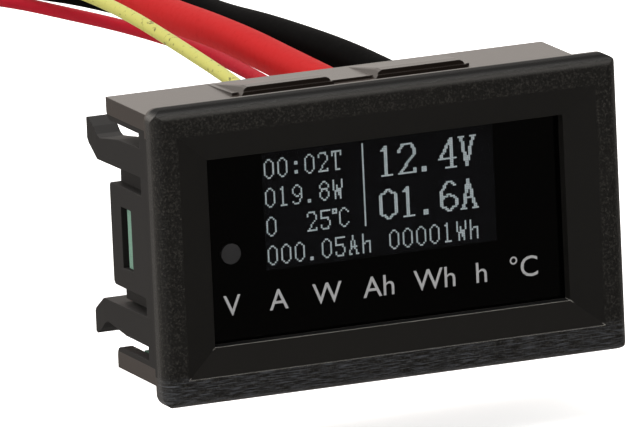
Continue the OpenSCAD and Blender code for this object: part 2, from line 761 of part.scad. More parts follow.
module lead_thick_red() { color([0.8, 0.12, 0.13]) lead(route_thick_red, thick_d); }
module lead_thick_black() { color([0.06, 0.06, 0.06]) lead(route_thick_black, thick_d); }
module lead_thin_red() { color([0.75, 0.08, 0.14]) lead(route_thin_red, thin_d); }
module lead_thin_black() { color([0.06, 0.06, 0.06]) lead(route_thin_black, thin_d); }
module lead_thin_yellow() { color([0.86, 0.85, 0.45]) lead(route_thin_yellow, thin_d); }
module tip_thick_red() { color([0.8, 0.8, 0.82]) tip(route_thick_red, thick_core); }
module tip_thick_black() { color([0.8, 0.8, 0.82]) tip(route_thick_black, thick_core); }
module tip_thin_red() { color([0.8, 0.8, 0.82]) tip(route_thin_red, thin_core); }
module tip_thin_black() { color([0.8, 0.8, 0.82]) tip(route_thin_black, thin_core); }
module tip_thin_yellow() { color([0.8, 0.8, 0.82]) tip(route_thin_yellow, thin_core); }

// ---- One line for each piece ----

case();
window_panel();
window_mask();
oled_polariser();
oled_front_glass();
oled_back_glass();
oled_driver_chip();
oled_flex();
oled_spacer();
push_button();
switch_body();
switch_cover();
switch_stem();
switch_legs();
main_pcb();
microcontroller();
memory_chip();
amplifier_chip();
regulator();
converter_chip();
chip_pins();
inductor();
inductor_pads();
diode();
input_capacitor();
end_clips();
shunt();
ceramic_capacitors();
resistors();
thermistor();
chip_terminals();
solder_joints();
lead_thick_red();
lead_thick_black();
lead_thin_red();
lead_thin_black();
lead_thin_yellow();
tip_thick_red();
tip_thick_black();
tip_thin_red();
tip_thin_black();
tip_thin_yellow();
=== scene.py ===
"""Dresses the digital panel meter: its finishes, lit dots, legend, board print and leads.

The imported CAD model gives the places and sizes. Lengths are in metres, and a name that ends
in _mm holds millimetres. X runs to the viewer's right, Y from front to back and Z up.
"""
import logging
import math
from collections.abc import Callable, Iterator
from dataclasses import dataclass, field
from enum import Enum
from functools import lru_cache, partial

import bpy
from bpy.types import ID, Material, Node, NodeSocket, NodeTree, Object, World
from mathutils import Matrix, Vector


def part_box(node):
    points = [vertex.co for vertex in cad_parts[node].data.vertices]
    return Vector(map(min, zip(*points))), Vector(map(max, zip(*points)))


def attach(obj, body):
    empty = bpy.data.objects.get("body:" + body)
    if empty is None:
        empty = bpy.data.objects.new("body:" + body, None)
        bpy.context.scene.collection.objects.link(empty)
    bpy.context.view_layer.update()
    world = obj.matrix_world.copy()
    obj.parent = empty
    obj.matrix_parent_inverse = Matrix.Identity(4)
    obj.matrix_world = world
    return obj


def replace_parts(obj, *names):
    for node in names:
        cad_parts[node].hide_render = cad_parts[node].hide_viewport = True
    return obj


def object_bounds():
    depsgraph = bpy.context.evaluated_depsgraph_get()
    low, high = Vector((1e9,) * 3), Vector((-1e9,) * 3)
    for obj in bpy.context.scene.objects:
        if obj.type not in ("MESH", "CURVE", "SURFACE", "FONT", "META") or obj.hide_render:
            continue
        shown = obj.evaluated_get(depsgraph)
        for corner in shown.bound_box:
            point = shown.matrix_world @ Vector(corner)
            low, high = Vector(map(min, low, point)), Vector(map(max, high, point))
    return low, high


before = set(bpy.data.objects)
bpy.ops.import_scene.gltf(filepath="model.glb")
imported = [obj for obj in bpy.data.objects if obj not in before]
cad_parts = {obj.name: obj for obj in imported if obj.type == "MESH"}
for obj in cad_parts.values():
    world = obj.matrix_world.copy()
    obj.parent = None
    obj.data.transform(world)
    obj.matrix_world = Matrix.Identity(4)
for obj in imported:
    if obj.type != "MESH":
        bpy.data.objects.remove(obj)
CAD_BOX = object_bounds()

MM = 0.001
METER = "meter"
log = logging.getLogger("panel_meter")

Dot = tuple[int, int]
Span = tuple[float, float]
Stroke = tuple[Dot, ...]
Settings = dict[str | int, object]
Adder = Callable[..., Node]

# What the Math nodes do that the finishes share.
TIMES: Settings = {"operation": "MULTIPLY"}
ABSOLUTE: Settings = {"operation": "ABSOLUTE"}


# ---- Small tools ----

def linear(colour: str) -> tuple[float, float, float, float]:
    """Turns an sRGB hex colour to linear light.

    Args:
        colour: The colour as "#rrggbb".

    Returns:
        Red, green, blue and an alpha of 1.
    """
    shares = [int(colour[i:i + 2], 16) / 255 for i in (1, 3, 5)]
    bright = [s / 12.92 if s <= 0.04045 else ((s + 0.055) / 1.055) ** 2.4 for s in shares]
    return (bright[0], bright[1], bright[2], 1.0)


def per_mm(size_mm: float) -> float:
    """Texture scale, on coordinates in metres, whose features are about size_mm wide."""
    return 1 / (size_mm * MM)


def span(start: float, end: float, unit: float = 1.0) -> Settings:
    """Settings for a Map Range node that take start to 0 and end to 1."""
    return {"From Min": start * unit, "From Max": end * unit}


def feed(node: Node, settings: Settings) -> None:
    """Sets a node's properties and inputs.

    Args:
        node: The node.
        settings: Values by name or input number. A socket, or a node for its first output,
            is linked to that input.
    """
    for key, value in settings.items():
        source = value.outputs[0] if isinstance(value, Node) else value
        if isinstance(source, NodeSocket):
            node.id_data.links.new(source, node.inputs[key])
        elif isinstance(key, str) and hasattr(node, key):
            setattr(node, key, source)
        else:
            node.inputs[key].default_value = source


def add_node(
    tree: NodeTree, kind: str, settings: Settings | None = None, *sources: Node | NodeSocket,
) -> Node:
    """Adds a node to a tree.

    Args:
        tree: The tree that gets the node.
        kind: The node's type, without "ShaderNode".
        settings: What feed() gives it.
        sources: What feeds its first inputs, in their order.

    Returns:
        The new node.
    """
    node = tree.nodes.new("ShaderNode" + kind)
    feed(node, (settings or {}) | dict(enumerate(sources)))
    return node


def adder(owner: Material | World) -> Adder:
    """Clears a material's or world's nodes, and returns add_node() bound to its tree."""
    owner.use_nodes = True
    owner.node_tree.nodes.clear()
    return partial(add_node, owner.node_tree)


def new_object(name: str, data: ID) -> Object:
    """Makes an object that holds the data, in the scene."""
    made = bpy.data.objects.new(name, data)
    bpy.context.scene.collection.objects.link(made)
    return made


# ---- Finishes ----

@dataclass(frozen=True)
class Finish:
    """A real material and how its surface was made. Colours are sRGB hex."""

    name: str
    colour: str
    roughness: float
    ior: float = 1.5
    metallic: float = 0.0
    specular: float = 0.5

    def build(self) -> Material:
        """Makes the material, with its pattern."""
        material = bpy.data.materials.new(self.name)
        add = adder(material)
        shader = add("BsdfPrincipled", {
            "Base Color": linear(self.colour),
            "Roughness": self.roughness,
            "IOR": self.ior,
            "Metallic": self.metallic,
            "Specular IOR Level": self.specular,
        })
        add("OutputMaterial", {}, shader)
        feed(shader, self.pattern(add))
        return material

    def pattern(self, add: Adder) -> Settings:
        """Adds what varies over the surface.

        Args:
            add: Adds a node to the material's tree.

        Returns:
            What feeds the shader. A plain finish has nothing.
        """
        return {}


@dataclass(frozen=True)
class Grained(Finish):
    """A finish with a fine grain in its surface and a soft mottle in its colour."""

    grain_mm: float = 0.3
    depth_mm: float = 0.01
    second: str = "#000000"
    mottle_mm: float = 2.0
    mottle: float = 0.2
    gloss_change: float = 0.08
    cloud_span: Span = (0.35, 0.65)
    gloss_span: Span = (0.3, 0.7)

    def pattern(self, add: Adder) -> Settings:
        """Adds the mottle, the change of gloss and the grain."""
        place = add("TexCoord").outputs["Object"]
        cloud = add("TexNoise", {"Scale": per_mm(self.mottle_mm), "Detail": 3.0}, place)
        share = add("MapRange", span(*self.cloud_span) | {"To Max": self.mottle}, cloud)
        colour = add("MixRGB",
                     {"Color1": linear(self.colour), "Color2": linear(self.second)}, share)
        grain = add("TexNoise", {"Scale": per_mm(self.grain_mm), "Detail": 2.0}, place)
        gloss = add("MapRange", span(*self.gloss_span) | {
            "To Min": self.roughness - self.gloss_change,
            "To Max": self.roughness + self.gloss_change,
        }, grain)
        bump = add("Bump", {"Distance": self.depth_mm * MM, "Strength": 1.0, "Height": grain})
        return {"Base Color": colour, "Roughness": gloss, "Normal": bump}


@dataclass(frozen=True)
class MouldedCase(Finish):
    """Black ABS moulded in a steel tool: rim spark-eroded, side cores left dull, the rest ground.

    The eye sees a fine grain on the rim, smooth bevels, satin top and bottom and duller sides.
    Painted shade darkens the sides and the bezel's top face. Painted highlights lighten the rim's
    grain specks, the top rounding and the low edges. Scratches streak the low rim.
    A name that ends in _span holds where a change starts and where it is complete.
    """

    rim_at_mm: Span = (21.5, 11.7)
    rim_soft_mm: float = 0.15
    front_span_mm: Span = (-0.2, -0.6)
    rim_grain_mm: float = 0.2
    rim_depth_mm: float = 0.06
    fine_grain_mm: float = 0.12
    fine_depth_mm: float = 0.009
    wall_roughness: float = 0.3
    side_at_mm: float = 11.6
    side_roughness: float = 0.7
    lifted_span: Span = (0.6, 0.9)
    speck_span: Span = (0.5, 0.68)
    streak_mm: Span = (1.6, 0.12)
    streak_span: Span = (0.45, 0.75)
    low_span_mm: Span = (-11.3, -11.9)
    low_edges_mm: Span = (-9.1, -11.8)
    edge_mm: float = 0.12
    near_span_mm: Span = (0.26, 0.2)
    bent_span: Span = (0.995, 0.98)
    upward_span: Span = (0.03, 0.12)
    rounding_highlight_span: Span = (0.2, 0.45)
    top_shade_span: Span = (0.5, 0.8)
    wall: str = "#322a25"
    # Painted highlight: glints on the rim's grain specks, lightened in colour.
    painted_glint: str = "#3c3a36"
    # Painted shade: the sides' middle band, darker in colour than the wall.
    side: str = "#1d1b1a"
    # Painted highlight: the top rounding, lightened in colour.
    painted_rounding_highlight: str = "#4a4947"
    # Painted shade: the bezel's top face, darkened in colour.
    painted_top_shade: str = "#0b0b0a"
    streak: str = "#5a5d63"
    # Painted highlight: the low edges that face up, lightened in colour.
    painted_edge_highlight: str = "#b4b2ac"

    def pattern(self, add: Adder) -> Settings:
        """Adds the eroded rim, the finer rest, the dull sides and the marks of handling."""
        coordinates = add("TexCoord")
        place = coordinates.outputs["Object"]
        axes = add("SeparateXYZ", {}, place).outputs
        front = add("MapRange", span(*self.front_span_mm, MM), axes["Y"])
        away = {axis: add("Math", ABSOLUTE, axes[axis]) for axis in "XZ"}
        past = [
            add("Math", {"operation": "SUBTRACT", 1: start * MM}, away[axis])
            for axis, start in zip("XZ", self.rim_at_mm)
        ]
        outside = add("Math", {"operation": "MAXIMUM"}, *past)
        ring = add("MapRange", span(0, self.rim_soft_mm, MM), outside)
        rim = add("Math", TIMES, ring, front)
        middle = add("Math", {"operation": "LESS_THAN", 1: self.side_at_mm * MM}, away["Z"])

        pits = add("TexNoise", {
            "Scale": per_mm(self.rim_grain_mm), "Detail": 3.0, "Roughness": 0.6}, place)
        fine = add("TexNoise", {"Scale": per_mm(self.fine_grain_mm), "Detail": 2.0}, place)
        soft_edge = add("Bevel", {"samples": 4, "Radius": self.edge_mm * MM})
        ground = add("Bump", {
            "Distance": self.fine_depth_mm * MM, "Height": fine, "Normal": soft_edge})
        eroded = add("Bump", {
            "Distance": self.rim_depth_mm * MM, "Height": pits, "Strength": rim, "Normal": ground})

        facing = add("SeparateXYZ", {}, soft_edge).outputs["Z"]
        wall_gloss = add("MapRange", {
            "To Min": self.wall_roughness, "To Max": self.side_roughness}, middle)
        lifted = add("MapRange", span(*self.lifted_span) | {
            "To Min": self.roughness, "To Max": 1.0}, facing)
        gloss = add("MapRange", {"To Min": wall_gloss, "To Max": lifted}, front)

        # Painted highlight: the rim's grain specks are lightened in colour as glints.
        specks = add("MapRange", span(*self.speck_span), pits)
        painted_glints = add("Math", TIMES, specks, rim)
        drawn = add("Mapping", {
            "Scale": (per_mm(self.streak_mm[0]), 1.0, per_mm(self.streak_mm[1]))}, place)
        lines = add("TexNoise", {"Scale": 1.0, "Detail": 4.0}, drawn)
        streaks = add("MapRange", span(*self.streak_span), lines)
        low = add("MapRange", span(*self.low_span_mm, MM), axes["Z"])
        low_rim = add("Math", TIMES, rim, low)
        streaked = add("Math", TIMES, streaks, low_rim)
        # Painted highlight on the top rounding, lightened in colour.
        turning = add("MapRange", span(*self.rounding_highlight_span), facing)
        turned = add("MapRange", span(*self.top_shade_span), facing)
        painted_rounding_highlight = add("Math", TIMES, turning, rim)
        # Painted shade: the bezel's faces that point up are darkened in colour.
        top_shade_share = add("Math", TIMES, turned, front)
        # Painted highlight: low edges that face up are lightened in colour.
        along = add("VectorMath", {"operation": "DOT_PRODUCT"},
                    soft_edge, coordinates.outputs["Normal"])
        bent = add("MapRange", span(*self.bent_span), along.outputs["Value"])
        upward = add("MapRange", span(*self.upward_span), facing)
        off = []
        for height in self.low_edges_mm:
            gap = add("Math", {"operation": "SUBTRACT", 1: height * MM}, axes["Z"])
            off.append(add("Math", ABSOLUTE, gap))
        nearest = add("Math", {"operation": "MINIMUM"}, *off)
        near = add("MapRange", span(*self.near_span_mm, MM), nearest)
        painted_edge_highlight = front
        for share in (bent, upward, near):
            painted_edge_highlight = add("Math", TIMES, painted_edge_highlight, share)

        # Painted shade: the middle band of the sides is darker in colour than the wall.
        skin = add("MixRGB", {"Color1": linear(self.wall), "Color2": linear(self.side)}, middle)
        for share, colour in ((front, self.colour), (painted_glints, self.painted_glint), (painted_rounding_highlight, self.painted_rounding_highlight),
                              (top_shade_share, self.painted_top_shade), (streaked, self.streak),
                              (painted_edge_highlight, self.painted_edge_highlight)):
            skin = add("MixRGB", {"Color2": linear(colour)}, share, skin)
        return {"Base Color": skin, "Roughness": gloss, "Normal": eroded}


@dataclass(frozen=True)
class ClearSheet(Finish):
    """A clear sheet, cast or drawn and left glossy. It shows what is behind it, a little dimmed."""

    ripple_mm: float = 9.0
    depth_mm: float = 0.004

    def pattern(self, add: Adder) -> Settings:
        """Lets light through, with a faint ripple in the gloss."""
        place = add("TexCoord").outputs["Object"]
        ripple = add("TexNoise", {"Scale": per_mm(self.ripple_mm)}, place)
        bump = add("Bump", {"Distance": self.depth_mm * MM, "Height": ripple})
        return {"Transmission Weight": 1.0, "Normal": bump}


@dataclass(frozen=True)
class LitDots(Finish):
    """The light of an organic LED layer, which was laid down through a mask in square dots."""

    glow: float = 1.0
    uneven_mm: float = 0.5

    def pattern(self, add: Adder) -> Settings:
        """Adds the glow, a little uneven from dot to dot."""
        place = add("TexCoord").outputs["Object"]
        uneven = add("TexNoise", {"Scale": per_mm(self.uneven_mm)}, place)
        colour = add("MixRGB",
                     {"Color1": linear(self.colour), "Color2": linear("#ffffff")}, uneven)
        return {"Emission Color": colour, "Emission Strength": self.glow}


@dataclass(frozen=True)
class SolderMask(Finish):
    """Woven glass laminate under screened solder mask, routed to size.

    The faces are glossy green with the weave just showing, and the cut edge is paler and dull.
    """

    edge: str = "#7fa391"
    edge_fibre: str = "#5c8573"
    edge_roughness: float = 0.8
    fibre_mm: float = 0.2
    weave_mm: float = 0.5
    depth_mm: float = 0.004

    def pattern(self, add: Adder) -> Settings:
        """Tells faces from cut edges, and adds the weave."""
        coordinates = add("TexCoord").outputs
        axes = add("SeparateXYZ", {}, coordinates["Normal"])
        steep = add("Math", ABSOLUTE, axes.outputs["Y"])
        face = add("Math", {"operation": "GREATER_THAN", 1: 0.5}, steep)
        fibres = add("TexNoise", {"Scale": per_mm(self.fibre_mm), "Detail": 3.0},
                     coordinates["Object"])
        edge = add("MixRGB",
                   {"Color1": linear(self.edge), "Color2": linear(self.edge_fibre)}, fibres)
        colour = add("MixRGB", {"Color2": linear(self.colour)}, face, edge)
        gloss = add("MapRange", {"To Min": self.edge_roughness, "To Max": self.roughness}, face)
        weave = add("TexChecker", {"Scale": per_mm(self.weave_mm)}, coordinates["Object"])
        bump = add("Bump", {"Distance": self.depth_mm * MM, "Height": weave.outputs["Fac"]})
        return {"Base Color": colour, "Roughness": gloss, "Normal": bump}


@dataclass(frozen=True)
class Insulation(Finish):
    """Soft PVC extruded on stranded wire. The eye sees a soft sheen with faint lines along it.

    scuffs holds where in the noise a scuff starts, where it is complete, and how strong it is.
    """

    scuffed: str = "#000000"
    scuffs: tuple[float, float, float] = (0.58, 0.78, 0.5)
    scuff_mm: float = 0.6
    line_mm: float = 0.25
    line_stretch: float = 0.03
    depth_mm: float = 0.012
    gloss_change: Span = (-0.1, 0.15)

    def pattern(self, add: Adder) -> Settings:
        """Adds the lines that the die leaves along the lead, and small scuffs."""
        coordinates = add("TexCoord").outputs
        stretched = add("Mapping",
                        {"Scale": (1 / self.line_mm, self.line_stretch, 1.0)},
                        coordinates["UV"])
        lines = add("TexNoise", {"Scale": 1.0, "Detail": 3.0}, stretched)
        scuffs = add("TexNoise", {"Scale": per_mm(self.scuff_mm), "Detail": 5.0},
                     coordinates["Object"])
        start, end, most = self.scuffs
        share = add("MapRange", span(start, end) | {"To Max": most}, scuffs)
        colour = add("MixRGB",
                     {"Color1": linear(self.colour), "Color2": linear(self.scuffed)}, share)
        smoother, rougher = self.gloss_change
        gloss = add("MapRange", {
            "To Min": self.roughness + smoother, "To Max": self.roughness + rougher}, scuffs)
        bump = add("Bump", {"Distance": self.depth_mm * MM, "Height": lines})
        return {"Base Color": colour, "Roughness": gloss, "Normal": bump}


@lru_cache(maxsize=None)
def material_of(finish: Finish) -> Material:
    """The finish's material, made once."""
    return finish.build()

# ABS is a tough plastic, here a slightly warm black. The tool's texture gives it its look.
CASE_ABS = MouldedCase("moulded_abs_case", "#1f1e1c", 0.33, specular=0.4)
# A smoked acrylic sheet keeps the display's surroundings black.
WINDOW_ACRYLIC = ClearSheet("smoked_cast_acrylic", "#b4b6ba", 0.04, 1.49)
# Black ink screened on the back of the window: dense, flat and even.
MASK_INK = Grained("black_screen_ink", "#060606", 0.6, grain_mm=0.2, depth_mm=0.002)
# Light grey ink screened on the front: slightly raised and matt.
LEGEND_INK = Grained("grey_screen_ink", "#c2c4c6", 0.6, grain_mm=0.15, depth_mm=0.003,
                     mottle=0.06)
# Polariser film is a neutral near-black, soft in its gloss.
POLARISER = Finish("laminated_polariser_film", "#252529", 0.5, specular=0.15)
# Ground and polished glass is clear, with a faint green.
DISPLAY_GLASS = ClearSheet("ground_display_glass", "#dfe6e4", 0.05, 1.52)
# The back glass shows the grey drying film inside it.
DISPLAY_BACK = Grained("desiccant_backed_glass", "#a9acae", 0.3, metallic=0.6, grain_mm=0.4)
# The lit layer is a cool white.
DISPLAY_DOTS = LitDots("organic_led_dots", "#b6c9c5", 0.4, glow=0.85)
# A bare die is mirror smooth and bluish.
SILICON = Grained("polished_silicon_die", "#4b4d55", 0.18, metallic=0.5, grain_mm=0.5,
                  depth_mm=0.001)
# Polyimide is amber and glossy, and the foam matt and pitted.
FLEX_FILM = Grained("polyimide_flex_film", "#b0661c", 0.35, grain_mm=0.3, depth_mm=0.003)
FOAM = Grained("closed_cell_foam", "#222223", 0.9, grain_mm=0.25, depth_mm=0.06)
# Both plastics were moulded against a fine texture, so they are matt.
BUTTON_PLASTIC = Grained("moulded_button_abs", "#343436", 0.55, second="#1f1f20", grain_mm=0.14,
                         depth_mm=0.01)
SWITCH_PLASTIC = Grained("moulded_switch_nylon", "#1d1d1e", 0.5, grain_mm=0.2, depth_mm=0.006)
# Tin plate over steel or brass: bright, with a soft bloom.
TIN_PLATE = Grained("rolled_tin_plate", "#c9c9c6", 0.32, metallic=1.0, second="#8e8e8a",
                    grain_mm=0.3, depth_mm=0.003)
# Solder that froze in place: smooth swells with frosted patches.
SOLDER = Grained("frozen_tin_solder", "#cfcfcc", 0.26, metallic=1.0, second="#989893",
                 grain_mm=0.7, depth_mm=0.05, gloss_change=0.12)
# Mask over copper is a lighter green than over bare laminate, and the ink on it is matt.
BOARD = SolderMask("glass_laminate_board", "#0c5a3c", 0.28)
TRACK = Grained("masked_copper_track", "#137a50", 0.28, second="#0c5a3c", grain_mm=0.4,
                depth_mm=0.004)
BOARD_INK = Grained("white_board_ink", "#e3e4df", 0.65, grain_mm=0.2, depth_mm=0.004,
                    mottle=0.08)
# Epoxy filled with silica is dull and fine-grained.
CHIP_EPOXY = Grained("transfer_moulded_epoxy", "#1b1b1c", 0.62, second="#2a2a2b", grain_mm=0.1,
                     depth_mm=0.012)
MARK_INK = Grained("grey_marking_ink", "#8f9192", 0.6, grain_mm=0.1, depth_mm=0.002, mottle=0.1)
# Pressed and fired ferrite is dry and pitted.
FERRITE = Grained("pressed_ferrite", "#37373b", 0.7, second="#252528", grain_mm=0.18,
                  depth_mm=0.03)
# The tantalum case is moulded yellow epoxy with a printed band.
TANTALUM = Grained("moulded_tantalum_case", "#d08a1e", 0.5, second="#a76a14", grain_mm=0.15,
                   depth_mm=0.01)
BAND_INK = Grained("brown_band_ink", "#5a3210", 0.5, grain_mm=0.15, depth_mm=0.002)
# Drawn wire keeps the marks of its die.
RESISTANCE_WIRE = Grained("drawn_resistance_wire", "#b98a63", 0.3, metallic=1.0, second="#8a6344",
                          grain_mm=0.5, depth_mm=0.008)
# Fired bodies are dry, and the glaze over a resistor is glossy.
CERAMIC = Grained("fired_ceramic_body", "#b08a5e", 0.55, second="#93704a", grain_mm=0.12,
                  depth_mm=0.01)
RESISTOR_FILM = Grained("glazed_resistor_film", "#171718", 0.35, grain_mm=0.15, depth_mm=0.004)
THERMISTOR = Grained("fired_oxide_body", "#3c463c", 0.6, second="#2b332b", grain_mm=0.12,
                     depth_mm=0.01)
# Soft PVC has a low sheen. The yellow lead has picked up dark dirt.
RED_PVC = Insulation("red_extruded_pvc", "#b82022", 0.55, specular=0.04, scuffed="#a81b1e")
CRIMSON_PVC = Insulation("crimson_extruded_pvc", "#a51024", 0.5, specular=0.06, scuffed="#8f0f22")
BLACK_PVC = Insulation("black_extruded_pvc", "#060606", 0.6, specular=0.01, scuffed="#0f0f0f")
YELLOW_PVC = Insulation("yellow_extruded_pvc", "#bfbd60", 0.4, specular=0.2, scuffed="#4e4c2a",
                        scuffs=(0.6, 0.66, 0.8))
# Dipped strands are bright, with copper showing through.
STRANDS = Grained("tinned_copper_strands", "#c4c2bc", 0.35, metallic=1.0, second="#a58d78",
                  grain_mm=0.3, depth_mm=0.01)


# ---- Making pieces ----

class Shape:
    """Collects the corners and faces of one piece, in millimetres, and makes its object."""

    round_sides = 20
    strand_sides = 6
    strand_depth = 0.1

    def __init__(self, name: str) -> None:
        """Starts an empty piece of that name."""
        self.name = name
        self.points: list[Vector] = []
        self.faces: list[list[int]] = []
        self.lay: dict[int, Span] = {}

    def block(self, xs: Span, ys: Span, zs: Span) -> None:
        """Adds a closed block from its lowest and highest X, Y and Z."""
        start = len(self.points)
        self.points += [Vector((x, y, z)) for z in zs for y in ys for x in xs]
        sides = ([0, 2, 3, 1], [4, 5, 7, 6], [0, 1, 5, 4], [2, 6, 7, 3], [0, 4, 6, 2],
                 [1, 3, 7, 5])
        self.faces += [[start + i for i in side] for side in sides]

    def ring(self, x: float, z: float, radii: Span, ys: Span) -> None:
        """Adds a flat ring about Y.

        Args:
            x: X of its centre.
            z: Z of its centre.
            radii: Its inner and outer radius.
            ys: Y of its front and back face.
        """
        start, count = len(self.points), self.round_sides
        (inner, outer), (near, far) = radii, ys
        for radius, y in ((outer, near), (outer, far), (inner, far), (inner, near)):
            self.points += [
                Vector((x + radius * math.cos(a), y, z + radius * math.sin(a)))
                for a in (math.tau * i / count for i in range(count))
            ]
        for band in range(4):
            for i in range(count):
                a, b = start + band * count, start + (band + 1) % 4 * count
                j = (i + 1) % count
                self.faces.append([a + i, b + i, b + j, a + j])

    def tube(
        self, path: list[Vector], radii: list[float], lobes: int = 0, turns: float = 0,
    ) -> None:
        """Adds a closed tube along a path.

        Args:
            path: The points of its centre line.
            radii: Its radius at each point.
            lobes: Number of strands that show round it, or 0 where it is round.
            turns: Turns that the strands make along it.
        """
        sides = max(self.round_sides, self.strand_sides * lobes)
        start, last = len(self.points), len(path) - 1
        side = (path[1] - path[0]).cross(Vector((0, 0, 1))).normalized()
        run = 0.0
        for i, centre in enumerate(path):
            ahead = (path[min(i + 1, last)] - path[max(i - 1, 0)]).normalized()
            side = (side - ahead * side.dot(ahead)).normalized()
            up = ahead.cross(side)
            run += (centre - path[max(i - 1, 0)]).length
            for k in range(sides):
                angle = math.tau * k / sides
                radius = radii[i]
                if lobes:
                    phase = lobes * (angle + math.tau * turns * i / last)
                    radius *= 1 - self.strand_depth * (1 - abs(math.cos(phase / 2)))
                self.lay[len(self.points)] = (angle * radii[i], run)
                self.points.append(
                    centre + radius * (math.cos(angle) * side + math.sin(angle) * up))
        self.faces.append([start + k for k in range(sides)])
        for i in range(last):
            for k in range(sides):
                a, b = start + i * sides + k, start + i * sides + (k + 1) % sides
                self.faces.append([b, a, a + sides, b + sides])
        self.faces.append([start + last * sides + k for k in reversed(range(sides))])

    def make(
        self, finish: Finish, slot: str, body: str = METER, smooth: bool = False,
    ) -> Object:
        """Makes the object, in its finish, on its body.

        Args:
            finish: What its surface is.
            slot: Not used.
            body: The body that it rides on.
            smooth: True for a round piece, whose end faces stay flat.

        Returns:
            The new object.
        """
        mesh = bpy.data.meshes.new(self.name)
        mesh.from_pydata([p * MM for p in self.points], [], self.faces)
        if self.lay:
            layer = mesh.uv_layers.new(name="lay")
            for loop in mesh.loops:
                layer.data[loop.index].uv = self.lay.get(loop.vertex_index, (0.0, 0.0))
        for polygon in mesh.polygons:
            polygon.use_smooth = smooth and len(polygon.vertices) == 4
        mesh.validate()
        return place_piece(new_object(self.name, mesh), finish, body)


def place_piece(
    piece: Object, finish: Finish, body: str,
) -> Object:
    """Gives a new piece its finish and its body."""
    piece.data.materials.clear()
    piece.data.materials.append(material_of(finish))
    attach(piece, body)
    log.info("%s: %d faces on %s", piece.name, len(piece.data.polygons), body)
    return piece


def dress(finishes: dict[str, Finish]) -> None:
    """Puts finishes on CAD nodes, by node name."""
    for name, finish in finishes.items():
        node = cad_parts[name]
        if not node.material_slots:
            node.data.materials.append(None)
        for slot in node.material_slots:
            slot.material = material_of(finish)
        log.info("%s: %s", name, finish.name)


def box_mm(name: str) -> tuple[Vector, Vector]:
    """Lowest and highest corner of a CAD node, in millimetres."""
    low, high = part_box(name)
    return low / MM, high / MM


def solids_mm(name: str) -> list[tuple[Vector, Vector]]:
    """Boxes of the separate solids of a CAD node.

    Args:
        name: The node.

    Returns:
        Lowest and highest corner of each solid, in millimetres.
    """
    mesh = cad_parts[name].data
    parent = list(range(len(mesh.vertices)))

    def root(i: int) -> int:
        """The first corner of the group that corner i belongs to."""
        while parent[i] != i:
            parent[i] = parent[parent[i]]
            i = parent[i]
        return i

    same: dict[tuple[int, int, int], int] = {}
    for vertex in mesh.vertices:
        key = tuple(round(c / MM * 1000) for c in vertex.co)
        parent[root(vertex.index)] = root(same.setdefault(key, vertex.index))
    for edge in mesh.edges:
        parent[root(edge.vertices[0])] = root(edge.vertices[1])
    groups: dict[int, list[Vector]] = {}
    for vertex in mesh.vertices:
        groups.setdefault(root(vertex.index), []).append(vertex.co / MM)
    return [
        (Vector(map(min, zip(*group))), Vector(map(max, zip(*group)))) for group in groups.values()
    ]


# ---- Case, window and button ----

class Case:
    """The moulded case, in one piece with its bezel, snap arms and lugs, and the button in it."""

    def build(self) -> None:
        """Dresses the case, the button and the switch under it."""
        dress({
            "case": CASE_ABS, "push_button": BUTTON_PLASTIC, "switch_body": SWITCH_PLASTIC,
            "switch_stem": SWITCH_PLASTIC, "switch_cover": TIN_PLATE, "switch_legs": TIN_PLATE,
        })


@dataclass
class Window:
    """The smoked window, the ink behind it and the legend of units on it."""

    legend: tuple[tuple[str, float], ...] = (
        ("V", -16.0), ("A", -11.2), ("W", -6.2), ("Ah", -0.8), ("Wh", 5.0), ("h", 9.8),
        ("°C", 14.2),
    )
    baseline_mm: float = -6.5
    letter_mm: float = 2.9
    ink_mm: float = 0.02
    curve_steps: int = 4

    def build(self) -> None:
        """Dresses the window and its mask, and adds the legend."""
        dress({"window_panel": WINDOW_ACRYLIC, "window_mask": MASK_INK})
        front = box_mm("window_panel")[0].y - self.ink_mm
        for number, (text, x) in enumerate(self.legend, start=1):
            self.letters(f"unit_legend_{number}", text, Vector((x, front, self.baseline_mm)))

    def letters(self, name: str, text: str, place: Vector) -> None:
        """Adds one unit of the legend.

        Args:
            name: The piece's name.
            text: The unit.
            place: The middle of its baseline, in millimetres.
        """
        curve = bpy.data.curves.new(name, "FONT")
        curve.body = text
        curve.size = self.letter_mm * MM
        curve.extrude = self.ink_mm / 2 * MM
        curve.align_x = "CENTER"
        curve.resolution_u = self.curve_steps
        draft = new_object(name + "_draft", curve)
        view = bpy.context.evaluated_depsgraph_get()
        mesh = bpy.data.meshes.new_from_object(draft.evaluated_get(view))
        bpy.data.objects.remove(draft)
        bpy.data.curves.remove(curve)
        mesh.transform(Matrix.Translation(place * MM) @ Matrix.Rotation(math.pi / 2, 4, "X"))
        mesh.name = name
        place_piece(new_object(name, mesh), LEGEND_INK, METER)


# ---- Display ----

